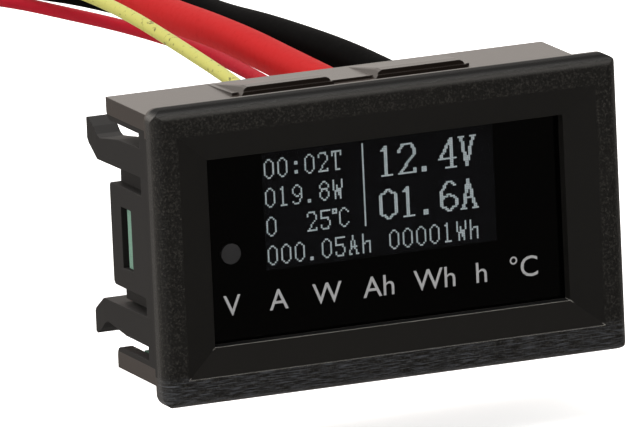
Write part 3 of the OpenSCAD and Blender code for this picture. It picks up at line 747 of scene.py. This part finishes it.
# Strokes of each sign in a box 20 wide and 20 high, from its top left corner.
SIGN_BOX = 20
SIGNS: dict[str, tuple[Stroke, ...]] = {
    "0": (((8, 0), (12, 0), (20, 4), (20, 16), (12, 20), (8, 20), (0, 16), (0, 4), (8, 0)),),
    "1": (((4, 2), (10, 0), (10, 20)), ((4, 20), (16, 20))),
    "2": (((0, 5), (4, 0), (16, 0), (20, 4), (20, 7), (0, 20), (20, 20), (20, 18)),),
    "4": (((15, 20), (15, 0), (0, 14), (20, 14)), ((10, 20), (20, 20))),
    "5": (((20, 0), (2, 0), (2, 9), (14, 8), (20, 12), (20, 16), (14, 20), (4, 20), (0, 17)),),
    "6": (((18, 2), (14, 0), (8, 0), (0, 6), (0, 16), (8, 20), (12, 20), (20, 16), (20, 13),
           (12, 9), (8, 9), (0, 13)),),
    "8": (((8, 0), (12, 0), (20, 3), (20, 6), (12, 9), (8, 9), (0, 6), (0, 3), (8, 0)),
          ((12, 9), (20, 13), (20, 17), (12, 20), (8, 20), (0, 17), (0, 13), (8, 9))),
    "T": (((0, 3), (0, 0), (20, 0), (20, 3)), ((10, 0), (10, 20)), ((6, 20), (14, 20))),
    "9": (((20, 8), (12, 12), (8, 12), (0, 8), (0, 4), (8, 0), (12, 0), (20, 4), (20, 14),
           (12, 20), (4, 20), (0, 18)),),
    "W": (((0, 0), (4, 20), (10, 6), (16, 20), (20, 0)),),
    "V": (((2, 0), (10, 20), (18, 0)), ((0, 0), (5, 0)), ((15, 0), (20, 0))),
    "A": (((2, 20), (10, 0), (18, 20)), ((6, 13), (14, 13)), ((0, 20), (5, 20)),
          ((15, 20), (20, 20))),
    "h": (((2, 0), (2, 20)), ((2, 11), (8, 8), (14, 8), (18, 11), (18, 20))),
    "C": (((20, 4), (12, 0), (8, 0), (0, 4), (0, 16), (8, 20), (12, 20), (20, 16)),),
    ":": (((8, 6), (12, 6)), ((8, 8), (12, 8)), ((8, 16), (12, 16)), ((8, 18), (12, 18))),
    ".": (((4, 18), (7, 18)), ((4, 19), (7, 19)), ((4, 20), (7, 20))),
    "°": (((4, 0), (12, 0), (12, 4), (4, 4), (4, 0)),),
}


class Lettering(Enum):
    """Sizes of sign: cell width, first column and row, columns and rows spanned, pen width."""

    SMALL = (8, 1, 2, 5, 10, 1)
    LARGE = (12, 0, 3, 9, 16, 2)


@dataclass
class Display:
    """The OLED module: its glasses, film and flexible tail, and the dots that are lit.

    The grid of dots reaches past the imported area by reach_mm, at its left, right, low and top.
    """

    columns: int = 128
    rows: int = 64
    lines: tuple[tuple[str, int, int, Lettering], ...] = (
        ("00:02T", 0, 0, Lettering.SMALL),
        ("019.8W", 0, 16, Lettering.SMALL),
        ("0", 0, 32, Lettering.SMALL),
        ("25", 24, 32, Lettering.SMALL),
        ("°", 38, 32, Lettering.SMALL),
        ("C", 43, 32, Lettering.SMALL),
        ("000.05Ah 00001Wh", 0, 48, Lettering.SMALL),
        ("12.4V", 68, 0, Lettering.LARGE),
        ("01.6A", 68, 24, Lettering.LARGE),
    )
    divider_column: int = 59
    divider_rows: int = 46
    dot_share: float = 0.88
    reach_mm: tuple[float, float, float, float] = (0.45, 0.15, 0.17, 0.2)
    lift_mm: float = 0.01
    dot_t_mm: float = 0.02

    def build(self) -> None:
        """Dresses the module and adds the lit dots."""
        dress({
            "oled_polariser": POLARISER, "oled_front_glass": DISPLAY_GLASS,
            "oled_back_glass": DISPLAY_BACK, "oled_driver_chip": SILICON,
            "oled_flex": FLEX_FILM, "oled_spacer": FOAM,
        })
        low, high = box_mm("oled_spacer")
        left, right, down, up = self.reach_mm
        low, high = low - Vector((left, 0, down)), high + Vector((right, 0, up))
        pitch_x, pitch_z = (high.x - low.x) / self.columns, (high.z - low.z) / self.rows
        back = box_mm("oled_polariser")[0].y - self.lift_mm
        shape = Shape("lit_dots")
        share = self.dot_share
        for column, row in sorted(self.lit()):
            x = low.x + pitch_x * (column + (1 - share) / 2)
            z = high.z - pitch_z * (row + (1 - share) / 2)
            shape.block((x, x + pitch_x * share), (back - self.dot_t_mm, back),
                        (z - pitch_z * share, z))
        shape.make(DISPLAY_DOTS, "display_glass")

    def lit(self) -> set[Dot]:
        """The dots that are lit, as columns and rows from the top left."""
        dots = {(self.divider_column, row) for row in range(self.divider_rows)}
        for text, column, row, lettering in self.lines:
            for number, sign in enumerate(text):
                dots |= self.sign(sign, column + number * lettering.value[0], row, lettering)
        return {(c, r) for c, r in dots if 0 <= c < self.columns and 0 <= r < self.rows}

    def sign(self, sign: str, column: int, row: int, lettering: Lettering) -> set[Dot]:
        """The dots of one sign.

        Args:
            sign: What it is.
            column: First column of its cell.
            row: First row of its cell.
            lettering: Its size.

        Returns:
            The lit dots.
        """
        _, inset, drop, wide, high, pen = lettering.value
        dots: set[Dot] = set()
        for stroke in SIGNS.get(sign, ()):
            corners = [
                (round(x * wide / SIGN_BOX), round(y * high / SIGN_BOX)) for x, y in stroke
            ]
            for start, end in zip(corners, corners[1:]):
                for c, r in self.walk(start, end):
                    dots |= {(column + inset + c + p, row + drop + r) for p in range(pen)}
        return dots

    @staticmethod
    def walk(start: Dot, end: Dot) -> Iterator[Dot]:
        """The dots on a straight line between two dots, both included."""
        across, down = end[0] - start[0], end[1] - start[1]
        steps = max(abs(across), abs(down), 1)
        for step in range(steps + 1):
            yield round(start[0] + across * step / steps), round(start[1] + down * step / steps)


# ---- Board ----

@dataclass
class Board:
    """The main board: its parts, and the pads, tracks and print on its back."""

    pad_margin_mm: float = 0.12
    pad_t_mm: float = 0.035
    track_w_mm: float = 0.22
    track_t_mm: float = 0.03
    track_lengths_mm: tuple[float, ...] = (0.7, 1.25, 1.8)
    edge_room_mm: Span = (1.4, 0.6)
    via_radii_mm: Span = (0.13, 0.32)
    via_gap_mm: float = 0.12
    via_room_mm: float = 0.3
    ink_w_mm: float = 0.15
    corner_mm: float = 0.9
    corner_gap_mm: float = 0.45
    mark_in_mm: float = 0.9
    mark_mm: float = 0.25
    mark_t_mm: float = 0.01
    marked_chips: int = 3
    band_span_mm: Span = (1.5, 0.7)
    band_in_mm: float = 0.3
    chips: tuple[str, ...] = ("microcontroller", "memory_chip", "amplifier_chip", "regulator",
                              "converter_chip")
    large_parts: tuple[str, ...] = ("diode", "input_capacitor", "inductor")

    def build(self) -> None:
        """Dresses the board and its parts, and adds what is on its back face."""
        dress({
            "main_pcb": BOARD, "inductor": FERRITE, "inductor_pads": TIN_PLATE,
            "diode": CHIP_EPOXY, "input_capacitor": TANTALUM, "end_clips": TIN_PLATE,
            "shunt": RESISTANCE_WIRE, "ceramic_capacitors": CERAMIC, "resistors": RESISTOR_FILM,
            "thermistor": THERMISTOR, "chip_terminals": TIN_PLATE, "chip_pins": TIN_PLATE,
            "solder_joints": SOLDER,
        })
        dress({name: CHIP_EPOXY for name in self.chips})
        self.face = box_mm("main_pcb")[1].y
        self.parts = [box_mm(name) for name in self.chips + self.large_parts]
        self.feet = [
            s for name in ("chip_pins", "chip_terminals", "end_clips") for s in solids_mm(name)
        ]
        self.pads()
        self.tracks()
        self.corner_marks()
        self.pin_marks()
        self.band()

    def pads(self) -> None:
        """Adds a tinned pad under each metal foot."""
        shape = Shape("board_pads")
        margin = self.pad_margin_mm
        for low, high in self.feet:
            shape.block((low.x - margin, high.x + margin), (self.face, self.face + self.pad_t_mm),
                        (low.z - margin, high.z + margin))
        shape.make(SOLDER, "solder")

    def tracks(self) -> None:
        """Adds a track and a plated hole that lead away from each pin, where there is room."""
        tracks, vias = Shape("board_tracks"), Shape("board_vias")
        taken = self.feet + self.parts + [box_mm("shunt")] + solids_mm("solder_joints")
        low, high = box_mm("main_pcb")
        half = self.track_w_mm / 2
        room_x, room_z = self.edge_room_mm
        clear = self.via_radii_mm[1] + self.via_gap_mm
        around = Vector((self.via_room_mm, 0, self.via_room_mm))
        chips = [box_mm(name) for name in self.chips]
        for number, (near, far) in enumerate(solids_mm("chip_pins")):
            foot = (near + far) / 2
            chip = min(chips, key=lambda c: self.outside(foot, c))
            away = self.direction(foot, chip)
            reach = abs(away.x) * (far.x - near.x) + abs(away.z) * (far.z - near.z)
            start = foot + away * reach / 2
            end = start + away * self.track_lengths_mm[number % len(self.track_lengths_mm)]
            inside = (low.x + room_x < end.x < high.x - room_x
                      and low.z + room_z < end.z < high.z - room_z)
            if not inside or any(self.outside(end, box) < clear for box in taken):
                continue
            across = Vector((abs(away.z), 0, abs(away.x))) * half
            corners = [start - across, start + across, end - across, end + across]
            xs, zs = [c.x for c in corners], [c.z for c in corners]
            tracks.block((min(xs), max(xs)), (self.face, self.face + self.track_t_mm),
                         (min(zs), max(zs)))
            vias.ring(end.x, end.z, self.via_radii_mm, (self.face, self.face + self.pad_t_mm))
            taken.append((end - around, end + around))
        tracks.make(TRACK, "circuit_board")
        vias.make(SOLDER, "solder")

    @staticmethod
    def outside(point: Vector, box: tuple[Vector, Vector]) -> float:
        """How far a point lies outside a box, seen along Y. It is 0 inside."""
        low, high = box
        x = max(low.x - point.x, point.x - high.x, 0)
        z = max(low.z - point.z, point.z - high.z, 0)
        return math.hypot(x, z)

    @staticmethod
    def direction(foot: Vector, chip: tuple[Vector, Vector]) -> Vector:
        """The way that leads from a chip out to one of its feet, along X or Z."""
        middle, half = (chip[0] + chip[1]) / 2, (chip[1] - chip[0]) / 2
        x, z = (foot.x - middle.x) / half.x, (foot.z - middle.z) / half.z
        if abs(x) > abs(z):
            return Vector((math.copysign(1, x), 0, 0))
        return Vector((0, 0, math.copysign(1, z)))

    def corner_marks(self) -> None:
        """Adds the printed corner marks round the larger parts."""
        shape = Shape("board_print")
        ys = (self.face, self.face + self.track_t_mm)
        for low, high in self.parts:
            for x, z, right, up in ((low.x, low.z, 1, 1), (high.x, low.z, -1, 1),
                                    (low.x, high.z, 1, -1), (high.x, high.z, -1, -1)):
                x, z = x - right * self.corner_gap_mm, z - up * self.corner_gap_mm
                for across, down in ((self.corner_mm, self.ink_w_mm),
                                     (self.ink_w_mm, self.corner_mm)):
                    shape.block(sorted((x, x + right * across)), ys, sorted((z, z + up * down)))
        shape.make(BOARD_INK, "mask_print")

    def pin_marks(self) -> None:
        """Adds the round mark that shows pin 1 on the larger chips."""
        shape = Shape("pin_one_marks")
        for name in self.chips[:self.marked_chips]:
            high = box_mm(name)[1]
            shape.ring(high.x - self.mark_in_mm, high.z - self.mark_in_mm, (0.0, self.mark_mm),
                       (high.y, high.y + self.mark_t_mm))
        shape.make(MARK_INK, "mask_print")

    def band(self) -> None:
        """Adds the band that marks the capacitor's positive end."""
        low, high = box_mm("input_capacitor")
        start, end = self.band_span_mm
        shape = Shape("capacitor_band")
        shape.block((high.x - start, high.x - end), (high.y, high.y + self.mark_t_mm),
                    (low.z + self.band_in_mm, high.z - self.band_in_mm))
        shape.make(BAND_INK, "mask_print")


# ---- Leads ----

@dataclass
class Lead:
    """One stranded lead with its tinned end. The route repeats the CAD source's, in metres."""

    colour: str
    finish: Finish
    slot: str
    diameter: float
    core: float
    stiffness: str
    route: tuple[tuple[float, float, float], ...] = field(repr=False)
    tip_mm: float = 6.0
    steps: int = 5
    end_share: float = 0.97
    tip_steps: int = 24
    taper_at: float = 0.93
    taper_to: float = 0.55
    strands: int = 7
    strand_turns: float = 0.5

    def build(self) -> Object:
        """Returns:
            The insulation.
        """
        tip = self.tip()
        path = self.centre_line()
        shape = Shape(f"{self.colour}_insulation")
        radius = self.diameter / MM / 2
        radii = [radius] * len(path)
        radii[0] = radii[-1] = radius * self.end_share
        shape.tube([p / MM for p in path], radii)
        piece = shape.make(self.finish, self.slot, smooth=True)
        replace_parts(piece, f"lead_{self.colour}")
        return piece

    def centre_line(self) -> list[Vector]:
        """The smooth curve through the route's points."""
        points = [Vector(p) for p in self.route]
        first, last = 2 * points[0] - points[1], 2 * points[-1] - points[-2]
        ends = [first, *points, last]
        line = [points[0]]
        for a, b, c, d in zip(ends, ends[1:], ends[2:], ends[3:]):
            for step in range(1, self.steps + 1):
                t = step / self.steps
                line.append(0.5 * (2 * b + (c - a) * t + (2 * a - 5 * b + 4 * c - d) * t ** 2
                                   + (3 * b - a - 3 * c + d) * t ** 3))
        return line

    def tip(self) -> Object:
        """Makes the twisted and tinned strands that stand out of the insulation."""
        end, before = Vector(self.route[-1]) / MM, Vector(self.route[-2]) / MM
        ahead = (end - before).normalized()
        radius = self.core / MM / 2
        shares = [i / self.tip_steps for i in range(self.tip_steps + 1)]
        slope = (1 - self.taper_to) / (1 - self.taper_at)
        radii = [
            radius * (1 if share < self.taper_at else self.taper_to + slope * (1 - share))
            for share in shares
        ]
        shape = Shape(f"{self.colour}_strands")
        shape.tube([end + ahead * self.tip_mm * share for share in shares], radii,
                   lobes=self.strands, turns=self.strand_turns)
        piece = shape.make(STRANDS, "tinned_strands", smooth=True)
        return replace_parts(piece, f"tip_{self.colour}")


THICK = {"diameter": 0.0035, "core": 0.0018, "stiffness": "medium"}
THIN = {"diameter": 0.0013, "core": 0.0008, "stiffness": "limp"}
LEADS = (
    Lead("thick_red", RED_PVC, "red_insulation", **THICK, route=(
        (0.0062, 0.012, 0.008), (0.0062, 0.018, 0.008), (0.0062, 0.028, 0.0084),
        (0.0062, 0.038, 0.0086), (0.0062, 0.048, 0.0088), (0.0062, 0.058, 0.0087),
        (0.0062, 0.068, 0.0084), (0.0062, 0.078, 0.0084), (0.0062, 0.088, 0.0085),
        (0.0061, 0.098, 0.0083), (0.0058, 0.108, 0.0074), (0.0052, 0.118, 0.0054),
        (0.0044, 0.128, 0.0022), (0.0036, 0.137, -0.0022), (0.0028, 0.145, -0.0078))),
    Lead("thick_black", BLACK_PVC, "black_insulation", **THICK, route=(
        (0.0126, 0.012, 0.008), (0.0126, 0.018, 0.008), (0.0126, 0.028, 0.0083),
        (0.0124, 0.038, 0.0085), (0.0122, 0.048, 0.0083), (0.012, 0.058, 0.0079),
        (0.0118, 0.068, 0.0073), (0.0116, 0.078, 0.0071), (0.0114, 0.088, 0.007),
        (0.0111, 0.098, 0.0069), (0.0106, 0.108, 0.0065), (0.0099, 0.118, 0.0052),
        (0.009, 0.128, 0.0024), (0.0082, 0.137, -0.0018), (0.0074, 0.145, -0.0072))),
    Lead("thin_red", CRIMSON_PVC, "red_insulation", **THIN, route=(
        (0.0016, 0.012, 0.008), (0.0016, 0.015, 0.008), (0.0019, 0.023, 0.008),
        (0.0022, 0.032, 0.008),
        (0.0025, 0.04, 0.0081), (0.0026, 0.048, 0.0082), (0.0016, 0.056, 0.0084),
        (-0.0002, 0.065, 0.0086), (-0.0024, 0.074, 0.0086), (-0.005, 0.083, 0.0086),
        (-0.0076, 0.092, 0.008), (-0.01, 0.101, 0.0064), (-0.012, 0.11, 0.0032),
        (-0.0136, 0.118, -0.0016), (-0.0146, 0.125, -0.0078), (-0.015, 0.13, -0.015))),
    Lead("thin_black", BLACK_PVC, "black_insulation", **THIN, route=(
        (-0.001, 0.012, 0.0086), (-0.001, 0.015, 0.0086), (0, 0.022, 0.0074),
        (0.0024, 0.029, 0.0054), (0.0054, 0.035, 0.004), (0.008, 0.041, 0.0044),
        (0.0094, 0.048, 0.0054), (0.0095, 0.056, 0.006),
        (0.0092, 0.064, 0.0062), (0.0088, 0.072, 0.0062), (0.0082, 0.08, 0.0061),
        (0.0072, 0.088, 0.0059), (0.0058, 0.097, 0.0055), (0.0042, 0.106, 0.0046),
        (0.0028, 0.114, 0.0022), (0.0018, 0.121, -0.0018), (0.0012, 0.127, -0.007))),
    Lead("thin_yellow", YELLOW_PVC, "yellow_insulation", **THIN, route=(
        (-0.0036, 0.012, 0.0086), (-0.0036, 0.015, 0.0086), (-0.0033, 0.023, 0.009),
        (-0.0029, 0.032, 0.0097), (-0.0028, 0.04, 0.0103), (-0.0028, 0.048, 0.0109),
        (-0.0028, 0.056, 0.0114), (-0.003, 0.065, 0.0117), (-0.0036, 0.074, 0.0117),
        (-0.0046, 0.083, 0.0111), (-0.006, 0.092, 0.0097), (-0.0074, 0.101, 0.0071),
        (-0.0088, 0.11, 0.0033), (-0.01, 0.118, -0.0016), (-0.0108, 0.125, -0.008),
        (-0.0112, 0.13, -0.0152))),
)


# ---- Studio ----

@dataclass
class Studio:
    """The pale floor, the soft lamps, the white ground and the camera."""

    azimuth: float = 22.0
    elevation: float = 12.1
    roll: float = 2.6
    distance: float = 1.5
    view_width: float = 0.0611
    aim: tuple[float, float, float] = (-0.0054, 0.0025, 0.0016)
    sensor: float = 36.0
    floor_gap: float = 0.0005
    floor_half: float = 2.5
    lamps: tuple[tuple[str, tuple[float, float, float], float, float], ...] = (
        ("overhead_softbox", (-0.1, 0.1, 0.7), 0.6, 4.2),
        ("left_fill", (-0.8, -0.35, 0.35), 0.5, 1.2),
        ("front_fill", (-0.5, -0.9, 0.5), 0.4, 0.8),
    )
    clip: Span = (0.1, 20)
    paper: str = "#f2f2f2"
    front_light: float = 0.14
    back_light: float = 1.15
    low_share: float = 0.3
    floor_lift: float = 0.7
    room: str = "#fff8f1"
    back_span: Span = (-0.35, 0.5)
    low_span: Span = (-0.1, 0.1)

    def camera(self) -> None:
        """Makes the camera, level with the line of sight and turned a little on it."""
        turn, rise, roll = (math.radians(a) for a in (self.azimuth, self.elevation, -self.roll))
        ahead = Vector((math.sin(turn) * math.cos(rise), math.cos(turn) * math.cos(rise),
                        -math.sin(rise)))
        flat_right = ahead.cross(Vector((0, 0, 1))).normalized()
        flat_up = flat_right.cross(ahead)
        right = math.cos(roll) * flat_right + math.sin(roll) * flat_up
        up = math.cos(roll) * flat_up - math.sin(roll) * flat_right
        data = bpy.data.cameras.new("camera")
        data.sensor_width = self.sensor
        data.lens = self.sensor * self.distance / self.view_width
        data.clip_start, data.clip_end = self.clip
        camera = new_object("camera", data)
        axes = Matrix((right, up, -ahead)).transposed().to_4x4()
        camera.matrix_world = Matrix.Translation(Vector(self.aim) - ahead * self.distance) @ axes
        bpy.context.scene.camera = camera

    def floor(self) -> None:
        """Makes the pale floor just under the lowest point of the meter."""
        height = CAD_BOX[0].z - self.floor_gap
        half = self.floor_half
        mesh = bpy.data.meshes.new("floor")
        corners = [(-half, -half), (half, -half), (half, half), (-half, half)]
        mesh.from_pydata([(x, y, height) for x, y in corners], [], [[0, 1, 2, 3]])
        floor = new_object("floor", mesh)
        material = bpy.data.materials.new("white_paper_floor")
        add = adder(material)
        paper = add("BsdfDiffuse", {"Color": linear(self.paper)})
        seen = add("LightPath").outputs["Is Camera Ray"]
        glow = add("Math", TIMES | {1: self.floor_lift}, seen)
        lift = add("Emission", {"Strength": glow})
        both = add("AddShader", {}, paper, lift)
        add("OutputMaterial", {}, both)
        mesh.materials.append(material)
        floor.visible_glossy = floor.visible_transmission = False

    def ground(self) -> None:
        """Makes the world: white where seen, else a room dim in front and bright behind."""
        world = bpy.data.worlds.new("studio")
        add = adder(world)
        toward = add("TexCoord").outputs["Generated"]
        axes = add("SeparateXYZ", {}, toward).outputs
        level = add("MapRange", span(*self.back_span) | {
            "To Min": self.front_light, "To Max": self.back_light}, axes["Y"])
        share = add("MapRange", span(*self.low_span) | {"To Min": self.low_share}, axes["Z"])
        strength = add("Math", TIMES, level, share)
        room = add("Background", {"Color": linear(self.room), "Strength": strength})
        white = add("Background", {"Color": (1, 1, 1, 1), "Strength": 1.0})
        seen = add("LightPath").outputs
        straight = add("Math", {"operation": "LESS_THAN", 1: 0.5}, seen["Glossy Depth"])
        through = add("Math", TIMES, seen["Is Transmission Ray"], straight)
        either = add("Math", {"operation": "MAXIMUM"}, seen["Is Camera Ray"], through)
        mixed = add("MixShader", {}, either, room, white)
        add("OutputWorld", {}, mixed)
        bpy.context.scene.world = world

    def light(self) -> None:
        """Makes the soft square lamps, all turned to the meter."""
        for name, place, side, power in self.lamps:
            data = bpy.data.lights.new(name, "AREA")
            data.shape, data.size, data.energy = "SQUARE", side, power
            lamp = new_object(name, data)
            lamp.location = place
            lamp.rotation_euler = (-Vector(place)).to_track_quat("-Z", "Y").to_euler()

    def build(self) -> None:
        """Makes the whole studio."""
        self.camera()
        self.floor()
        self.ground()
        self.light()
        bpy.context.scene.view_settings.view_transform = "Standard"


def main() -> None:
    """Builds the studio, then each part of the meter."""
    logging.basicConfig(level=logging.INFO, format="%(name)s %(message)s")
    Studio().build()
    for lead in LEADS:
        lead.build()
    for part in (Case(), Window(), Display(), Board()):
        part.build()
        log.info("built %s", type(part).__name__)


if __name__ == "__main__":
    main()
